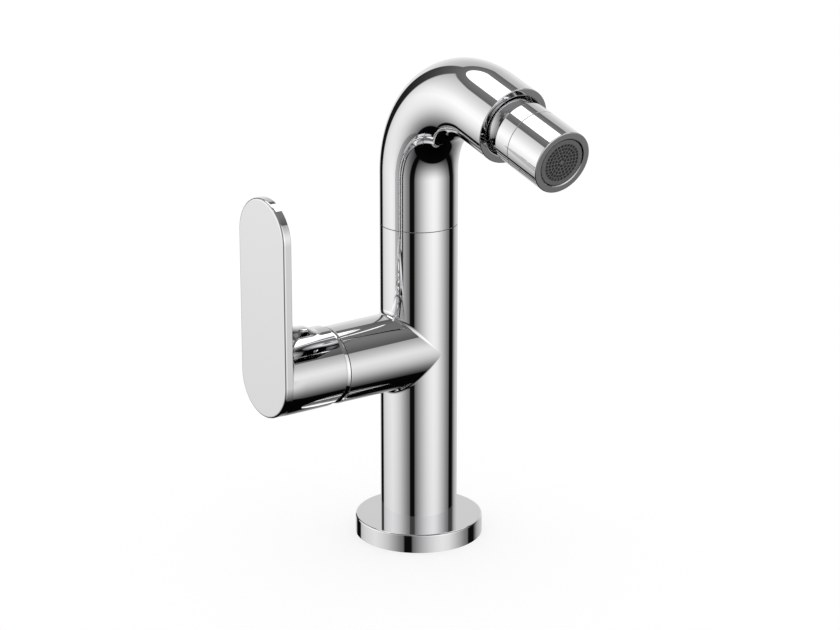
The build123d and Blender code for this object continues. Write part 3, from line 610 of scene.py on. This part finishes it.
def makeSleeves():
    outer, start, end = sleeves["radius"], sleeves["start"], sleeves["end"]
    seamBack, seamFront = sleeves["seam"] - sleeves["seamGap"] / 2, sleeves["seam"] + sleeves["seamGap"] / 2
    bore, thread, wall = sleeves["rearBore"], sleeves["rearThread"], start + sleeves["rearWall"]
    rear = roundedProfile(
        [(start, bore), (start, outer), (seamBack, outer), (seamBack, thread), (wall, thread), (wall, bore)],
        [0, sleeves["startEdge"], sleeves["seamEdge"], 0, 0, 0])
    turnedPiece("rearSleeve", rear, nozzleAxis, "polished_chrome", "nozzle", ["rear_sleeve"], closed=True)
    bore, thread, back = sleeves["frontBore"], sleeves["frontThread"], start + sleeves["frontStart"]
    insertBore, insertStop, lip = sleeves["insertBore"], sleeves["insertStop"], sleeves["lip"]
    washerBore, washerStop = sleeves["washerBore"], sleeves["washerStop"]
    throatBore, neckStop = sleeves["throatBore"], sleeves["neckStop"]
    front = roundedProfile(
        [(back, bore), (back, thread), (seamFront, thread), (seamFront, outer), (end, outer),
         (end, insertBore + lip), (end - lip, insertBore), (insertStop, insertBore), (insertStop, washerBore),
         (washerStop, washerBore), (washerStop, throatBore), (neckStop, throatBore), (neckStop, bore)],
        [0, 0, 0, sleeves["seamEdge"], sleeves["endEdge"], sleeves["lipEdge"], 0, 0, 0, 0, 0, 0, 0])
    turnedPiece("frontSleeve", front, nozzleAxis, "polished_chrome", "nozzle", ["front_sleeve"], closed=True)


makeEndRing()
makeBall()
makeSleeves()
print("nozzle made")


# Aerator insert

aerator = {
    "front": 0.0309,
    "back": 0.0213,
    "radius": 0.0097,
    "faceRadius": 0.0096,
    "rimEdge": 0.0002,
    "pitch": 0.00145,
    "wallShare": 0.18,  # of the pitch, between two cells
    "slope": 0.06,  # of the pitch, over which a cell's wall goes down
    "rings": 5,
    "cellDepth": 0.0009,
    "rimDepth": 0.0012,  # from the front to where the insert fits its sleeve
    "backRing": 0.0060,
    "steps": 360,
}


def makeAerator():
    # A turned front whose depth is a product of two waves of 0 and 1: one along the radius, low
    # between two rings of cells, and one round each ring, low between its cells. Ring k has six
    # times k cells, so every cell is about as long as it is wide.
    pitch, wall, slope = aerator["pitch"], aerator["wallShare"], aerator["slope"]
    rings, steps = aerator["rings"], aerator["steps"]
    angles = np.arange(steps)
    radii, sunk = [0.0], [np.zeros(steps)]
    for ring in range(1, rings + 1):
        samples = steps // (6 * ring)
        walls = max(1, round(samples * wall / 2))
        phase = angles % samples
        cell = ((phase > walls) & (phase < samples - walls)).astype(float)
        start = (ring - 0.5) * pitch
        for share, deep in ((wall / 2, 0), (wall / 2 + slope, 1), (1 - wall / 2 - slope, 1), (1 - wall / 2, 0)):
            radii.append(start + share * pitch)
            sunk.append(cell * deep)
    radii = np.array(radii)
    depth = aerator["front"] - np.array(sunk) * aerator["cellDepth"]
    edge, face, back, radius = aerator["rimEdge"], aerator["faceRadius"], aerator["back"], aerator["radius"]
    bend = np.linspace(0, np.pi / 2, 5)
    radii = np.concatenate([radii, face - edge + edge * np.sin(bend),
                            [radius, radius, aerator["backRing"], 0.0]])
    flat = np.concatenate([aerator["front"] - edge + edge * np.cos(bend),
                           [aerator["front"] - aerator["rimDepth"], back, back, back]])
    depth = np.concatenate([depth, flat[:, None] * np.ones(steps)])
    turn = 2 * np.pi * angles / steps
    grid = (mouth + depth[..., None] * nozzleWay
            + radii[:, None, None] * (np.cos(turn)[:, None] * xAxis + np.sin(turn)[:, None] * nozzleUp))
    index = np.arange(grid.shape[0] * steps).reshape(-1, steps)
    index[0] = index[0, 0]
    index[-1] = index[-1, 0]
    thisRow, nextRow = index[:-1], index[1:]
    quads = np.stack([np.roll(thisRow, -1, axis=1), thisRow, nextRow, np.roll(nextRow, -1, axis=1)], axis=-1)
    corners = grid.reshape(-1, 3)[quads]
    flatNormal = unit(np.cross(corners[..., 2, :] - corners[..., 0, :],
                               corners[..., 3, :] - corners[..., 1, :]))
    normals = np.repeat(flatNormal[..., None, :], 4, axis=-2)
    points, quads = keepUsed(grid.reshape(-1, 3), quads.reshape(-1, 4))
    meshPiece("aeratorFace", points, quads, normals.reshape(-1, 4, 3), "grey_acetal", "nozzle",
              ["aerator_insert"])


makeAerator()
print("aerator made")


# Cover ring between the arm and the lever

# Distances run out from the column's axis, along the arm's
cover = {
    "rim": 0.01562,
    "rimEdge": 0.00012,
    "gap": 0.0002,  # from the arm's end
    "skirt": 0.01398,
    "skirtStart": 0.0406,
    "skirtBore": 0.01258,
    "crownAt": (0.0466, 0.0154),  # distance and radius of the dome's first bend
    "crown": 0.0030,
    "shoulderAt": (0.0480, 0.01385),
    "shoulder": 0.0040,
    "hole": 0.0124,
    "lip": 0.0491,
    "lipEdge": 0.0002,
}


def makeCoverRing():
    # A band that leans a little toward the lever, then rounds down to the ball that the hub clears
    start, end = cover["skirtStart"], place["armLength"] + cover["gap"]
    skirt, hole = cover["skirt"], cover["hole"]
    corners = [(start, cover["skirtBore"]), (start, skirt), (end, skirt), (end, cover["rim"]),
               cover["crownAt"], cover["shoulderAt"], (cover["lip"], hole), (end, hole)]
    radii = [0, 0, 0, cover["rimEdge"], cover["crown"], cover["shoulder"], cover["lipEdge"], 0]
    profile = roundedProfile(corners, radii, arcSteps=12)
    turnedPiece("coverRing", profile, straightWay(armCentre, -xAxis, -yAxis), "polished_chrome",
                "mixer_body", ["cover_ring"], closed=True)


makeCoverRing()
print("cover ring made")


# Lever

lever = {
    "lift": 0.0005,  # of plate and hub above the arm's axis
    "rear": 0.0474,
    "cutDrop": 0.0060,  # where the hub's end turns slanting, below the arm's axis
    "cutSlope": 0.445,
    "cutSoftness": 0.0003,  # of the bend between the end's upright and slanting parts
    "hubRadius": 0.0163,
    "hubEdge": 0.00012,
    "cavity": 0.0208,  # radius of the hollow, about the point where the lever tilts
    "hollow": 0.0150,  # rough radius of its mouth
    "pivot": 0.0330,
    "plateRadius": 0.0161,
    "plateBack": 0.07305,
    "plateFace": 0.0768,
    "plateRise": 0.0583,
    "plateEdge": 0.0010,
    "plateBackEdge": 0.0003,
    "flareTop": 0.0160,  # radius of the sweep up to the plate, over the hub
    "flareSide": 0.0024,  # the same at the hub's sides
    "flareLeast": 0.0003,
    "blend": 0.0060,  # length over which the hub's lower half draws in to the plate's rim
    "ribWidth": 0.0042,  # half the width of the rib on the hub's top
    "ribHeight": 0.0021,
    "ribEnd": 0.0548,
    "ribRound": 0.0030,
    "tuck": 0.0004,  # how far the hub's last ring stands in the plate
    "tuckGrowth": (0.00002, -0.0002),  # of that ring's radius, below and above
    "steps": 720,
}
leverCentre = armCentre + lever["lift"] * zAxis


def makeLeverPlate():
    # A thin disc drawn apart into two half circles, the upper one raised
    radius, back, face = lever["plateRadius"], lever["plateBack"], lever["plateFace"]
    half = lever["steps"] // 2
    angles = np.concatenate([np.linspace(0, np.pi, half), np.linspace(np.pi, 2 * np.pi, half)])
    offsets = np.concatenate([np.tile(zAxis * lever["plateRise"], (half, 1)), np.zeros((half, 3))])
    profile = roundedProfile([(back, 0), (back, radius), (face, radius), (face, 0)],
                             [0, lever["plateBackEdge"], lever["plateEdge"], 0], arcSteps=10)
    turnedPiece("leverPlate", profile, straightWay(leverCentre, -xAxis, -yAxis), "polished_chrome", "lever",
                ["lever"], ring=(angles, offsets))


def makeLeverHub():
    # Round the hub's axis, each ring point runs from the hollow over the hub's end, along the
    # outside and up a quarter of an oval to the plate. The end is a plane, cut slanting below.
    # The quarter's radius grows with the ninth power of the sine of the angle. A soft minimum, by
    # the fourth root of a sum of fourth powers, keeps it within the plate's outline. Below, the hub
    # draws in to that outline by the square of a sine. A rib on the top adds its height, times a
    # step that falls at its half width and one that rises at its end.
    angles = np.linspace(0, 2 * np.pi, lever["steps"], endpoint=False)
    ring = np.stack([np.zeros_like(angles), -np.cos(angles), np.sin(angles)], axis=-1)
    radius, edge, cavity = lever["hubRadius"], lever["hubEdge"], lever["cavity"]
    back, plate, pivot = lever["plateBack"], lever["plateRadius"], lever["pivot"]
    rise = np.sin(angles)

    def endPlane(r):
        gap = (-lever["cutDrop"] - lever["lift"] - r * rise) * lever["cutSlope"]
        return lever["rear"] + (gap + np.sqrt(gap ** 2 + lever["cutSoftness"] ** 2)) / 2
    rows = []

    def addRow(distance, r):
        distance, r = np.asarray(distance) + 0 * rise, np.asarray(r) + 0 * rise
        across = np.abs(r * np.cos(angles)) / lever["ribWidth"]
        along = np.clip((distance - lever["ribEnd"]) / lever["ribRound"], -1, 1)
        swell = np.where(rise > 0, np.exp(-across ** 4), 0) * (0.5 + 0.75 * along - 0.25 * along ** 3)
        r = r + lever["ribHeight"] * swell * (distance > lever["rear"] + edge)
        rows.append(leverCentre - xAxis * distance[..., None] + r[..., None] * ring)
    hollow = np.full_like(angles, lever["hollow"])
    for _ in range(12):  # closes in on the ring where the hollow's sphere meets the end
        hollow = np.sqrt(np.maximum(cavity ** 2 - (endPlane(hollow) - pivot) ** 2, 1e-8))
    for share in np.linspace(0, 1, 10):
        r = hollow * share
        depth = pivot + np.sqrt(cavity ** 2 - r ** 2)
        rows.append(leverCentre - xAxis * depth[..., None] + r[..., None] * ring)
    breaks = [len(rows) - 1]
    endEdge = endPlane(radius - edge)
    for turn in np.linspace(0, np.pi / 2, 7):
        addRow(endEdge + edge * (1 - np.cos(turn)), radius - edge + edge * np.sin(turn))
    outline = np.where(rise > 0, plate / np.maximum(np.abs(np.cos(angles)), 1e-3), plate)
    room = outline - radius
    flare = lever["flareSide"] + (lever["flareTop"] - lever["flareSide"]) * np.maximum(rise, 0) ** 9
    flare = np.maximum(room, 1e-9) / (1 + (np.maximum(room, 0) / flare) ** 4) ** 0.25
    below = room < 1e-9
    flareStart = back - np.where(below, lever["blend"], np.maximum(flare, lever["flareLeast"]))
    start = endEdge + edge
    for share in (0.003, *np.linspace(0, 1, 61)[1:]):
        addRow(start + (flareStart - start) * share, radius)
    widened = np.minimum(room, flare)
    for turn in np.linspace(0, np.pi / 2, 25)[1:]:
        growth = np.where(below, room * np.sin(turn) ** 2, widened * (1 - np.cos(turn)))
        addRow(flareStart + (back - flareStart) * np.sin(turn), radius + growth)
    breaks.append(len(rows) - 1)
    addRow(back + lever["tuck"], radius + widened + np.where(below, *lever["tuckGrowth"]))
    breaks.append(len(rows) - 1)
    rows.append(leverCentre - xAxis * (back + lever["tuck"]) + 0 * ring)
    gridPiece("leverHub", np.array(rows), "polished_chrome", "lever", breaks=breaks)


makeLeverPlate()
makeLeverHub()
print("lever made")


# Light, camera and floor

studio = {
    # brightness of the walls by the angle round the object, in degrees from the camera's side
    "around": [(-157, 0.66), (-156, 0.0), (-133, 0.0), (-131, 0.62), (-118, 0.78), (-106, 0.86),
               (-86, 0.95), (-70, 0.84), (-58, 0.69), (-46, 0.46), (-34, 0.25), (-28, 0.17), (-26, 0.0),
               (-13, 0.0), (-11, 0.16), (-4, 0.30), (8, 0.54), (20, 0.76), (32, 0.92), (44, 1.0),
               (56, 0.93), (68, 0.72), (80, 0.49), (92, 0.27), (101, 0.17), (103, 0.0), (119, 0.0),
               (123, 0.10), (134, 0.46), (152, 0.66)],
    "wallLevel": 1.32,
    # share of that by height above the horizon, in degrees, and the room behind the walls
    "height": [(-50, 0.0), (-48.5, 0.14), (-38, 0.34), (-28, 0.58), (-20, 0.75), (-12, 0.88), (2, 1.0),
               (12, 0.92), (20, 0.78), (32, 0.60), (40, 0.50), (41.5, 0.0)],
    "room": [(-90, 0.0), (-30, 0.003), (-10, 0.006), (4, 0.018), (20, 0.052), (36, 0.11), (44, 0.15),
             (54, 0.21), (90, 0.24)],
    # how much the height counts more above the horizon, which lowers the wall on the right
    "lean": [(-180, 0.0), (50, 0.0), (66, 0.19), (112, 0.19), (124, 0.0)],
    # centre and radius of the round lamps overhead, on a ceiling one unit up
    "lamps": [(0.0, 0.47, 0.38), (0.74, 0.22, 0.30), (-0.68, 0.06, 0.10)],
    "lampLevel": 1.6,
    "softLevel": 1.0,
    "floorColour": "#ffffff",
    "floorOwn": 0.65,  # part of the floor's white that is its own light, so that its shadow stays faint
    "floorGlow": 1.02,
    "floorReach": 3.0,
}
camera = {
    "place": (-0.6158, -0.8380, 0.4244),
    "azimuth": -36.34,
    "pitch": 17.57,  # downwards, in degrees like the azimuth
    "lens": 113.1,
    "sensor": 36.0,
    "near": 0.01,
    "far": 20,
}


def makeWorld():
    # Glossy rays see a studio by their direction: three pale walls with dark gaps between them,
    # a grey ceiling with round lamps, and darkness below. Other rays get plain soft light.
    world = bpy.data.worlds.new("studio")
    scene.world = world
    world.use_nodes = True
    tree = world.node_tree
    tree.nodes.clear()
    coords = addNode(tree, "ShaderNodeTexCoord")
    turned = addNode(tree, "ShaderNodeMapping", {"Rotation": (0, 0, -np.radians(camera["azimuth"]))},
                     {"Vector": coords.outputs["Generated"]})
    split = addNode(tree, "ShaderNodeSeparateXYZ", None, {"Vector": turned.outputs[0]})
    toCamera = addNode(tree, "ShaderNodeMath", {"operation": "MULTIPLY", 1: -1.0}, {0: split.outputs["Y"]})
    around = addNode(tree, "ShaderNodeMath", {"operation": "ARCTAN2"},
                     {0: split.outputs["X"], 1: toCamera.outputs[0]})
    height = addNode(tree, "ShaderNodeMath", {"operation": "ARCSINE"}, {0: split.outputs["Z"]})
    above = addNode(tree, "ShaderNodeMath", {"operation": "MAXIMUM", 1: 0.0}, {0: height.outputs[0]})
    leaned = addNode(tree, "ShaderNodeMath", {"operation": "MULTIPLY_ADD"},
                     {0: above.outputs[0], 2: height.outputs[0]})
    ramps = {}
    sources = (("around", around, 180), ("lean", around, 180), ("height", leaned, 90), ("room", height, 90))
    for key, angle, limit in sources:
        share = addNode(tree, "ShaderNodeMapRange",
                        {"From Min": -np.radians(limit), "From Max": np.radians(limit)},
                        {"Value": angle.outputs[0]})
        ramps[key] = addNode(tree, "ShaderNodeValToRGB", None, {"Fac": share.outputs[0]})
        stops = ramps[key].color_ramp.elements
        while len(stops) > 1:
            stops.remove(stops[-1])
        for number, (degrees, value) in enumerate(studio[key]):
            position = (degrees + limit) / (2 * limit)
            stop = stops[0] if number == 0 else stops.new(position)
            stop.position = position
            stop.color = (value, value, value, 1)
    tree.links.new(ramps["lean"].outputs[0], leaned.inputs[1])
    walls = addNode(tree, "ShaderNodeMath", {"operation": "MULTIPLY"},
                    {0: ramps["around"].outputs[0], 1: ramps["height"].outputs[0]})
    surround = addNode(tree, "ShaderNodeMath", {"operation": "MULTIPLY_ADD", 1: studio["wallLevel"]},
                       {0: walls.outputs[0], 2: ramps["room"].outputs[0]})
    up = addNode(tree, "ShaderNodeSeparateXYZ", None, {"Vector": coords.outputs["Generated"]})
    upward = addNode(tree, "ShaderNodeMath", {"operation": "MAXIMUM", 1: 0.01}, {0: up.outputs["Z"]})
    shrink = addNode(tree, "ShaderNodeMath", {"operation": "DIVIDE", 0: 1.0}, {1: upward.outputs[0]})
    ceiling = addNode(tree, "ShaderNodeVectorMath", {"operation": "SCALE"},
                      {0: coords.outputs["Generated"], "Scale": shrink.outputs[0]})
    level = surround.outputs[0]
    for x, y, radius in studio["lamps"]:
        away = addNode(tree, "ShaderNodeVectorMath", {"operation": "DISTANCE", 1: (x, y, 1)},
                       {0: ceiling.outputs[0]})
        lamp = addNode(tree, "ShaderNodeMath", {"operation": "LESS_THAN", 1: radius},
                       {0: away.outputs["Value"]})
        strength = addNode(tree, "ShaderNodeMix", {"data_type": "FLOAT", 3: studio["lampLevel"]},
                           {0: lamp.outputs[0], 2: level})
        level = strength.outputs[0]
    shown = addNode(tree, "ShaderNodeBackground", {"Color": (1, 1, 1, 1)}, {"Strength": level})
    plain = addNode(tree, "ShaderNodeBackground", {"Color": (1, 1, 1, 1), "Strength": studio["softLevel"]})
    seen = addNode(tree, "ShaderNodeBackground", {"Color": (1, 1, 1, 1), "Strength": 1.0})
    rays = addNode(tree, "ShaderNodeLightPath")
    sharp = addNode(tree, "ShaderNodeMath", {"operation": "MAXIMUM"},
                    {0: rays.outputs["Is Glossy Ray"], 1: rays.outputs["Is Transmission Ray"]})
    lit = addNode(tree, "ShaderNodeMixShader", None,
                  {0: sharp.outputs[0], 1: plain.outputs[0], 2: shown.outputs[0]})
    mix = addNode(tree, "ShaderNodeMixShader", None,
                  {0: rays.outputs["Is Camera Ray"], 1: lit.outputs[0], 2: seen.outputs[0]})
    addNode(tree, "ShaderNodeOutputWorld", None, {"Surface": mix.outputs[0]})


def makeCamera():
    data = bpy.data.cameras.new("photoCamera")
    data.sensor_width = camera["sensor"]
    data.lens = camera["lens"]
    data.clip_start = camera["near"]
    data.clip_end = camera["far"]
    eye = bpy.data.objects.new("photoCamera", data)
    scene.collection.objects.link(eye)
    turn = np.radians(camera["azimuth"])
    pitch = np.radians(camera["pitch"])
    look = Vector((-np.sin(turn) * np.cos(pitch), np.cos(turn) * np.cos(pitch), -np.sin(pitch)))
    eye.matrix_world = Matrix.Translation(camera["place"]) @ look.to_track_quat("-Z", "Y").to_matrix().to_4x4()
    scene.camera = eye


def makeFloor():
    # To the camera it is partly its own light and keeps a faint shadow, and the chrome sees through it
    mesh = bpy.data.meshes.new("floor")
    reach = studio["floorReach"]
    corners = [(-reach, -reach, 0), (reach, -reach, 0), (reach, reach, 0), (-reach, reach, 0)]
    mesh.from_pydata(corners, [], [(0, 1, 2, 3)])
    material = bpy.data.materials.new("paleFloor")
    material.use_nodes = True
    tree = material.node_tree
    tree.nodes.clear()
    rays = addNode(tree, "ShaderNodeLightPath")
    pale = addNode(tree, "ShaderNodeBsdfDiffuse", {"Color": hexColour(studio["floorColour"])})
    white = addNode(tree, "ShaderNodeEmission", {"Color": (1, 1, 1, 1), "Strength": studio["floorGlow"]})
    seen = addNode(tree, "ShaderNodeMixShader", {0: studio["floorOwn"]},
                   {1: pale.outputs[0], 2: white.outputs[0]})
    direct = addNode(tree, "ShaderNodeMixShader", None,
                     {0: rays.outputs["Is Camera Ray"], 1: pale.outputs[0], 2: seen.outputs[0]})
    clear = addNode(tree, "ShaderNodeBsdfTransparent")
    mix = addNode(tree, "ShaderNodeMixShader", None,
                  {0: rays.outputs["Is Glossy Ray"], 1: direct.outputs[0], 2: clear.outputs[0]})
    addNode(tree, "ShaderNodeOutputMaterial", None, {"Surface": mix.outputs[0]})
    mesh.materials.append(material)
    floor = bpy.data.objects.new("floor", mesh)
    scene.collection.objects.link(floor)


makeWorld()
makeCamera()
makeFloor()
print("stage made")
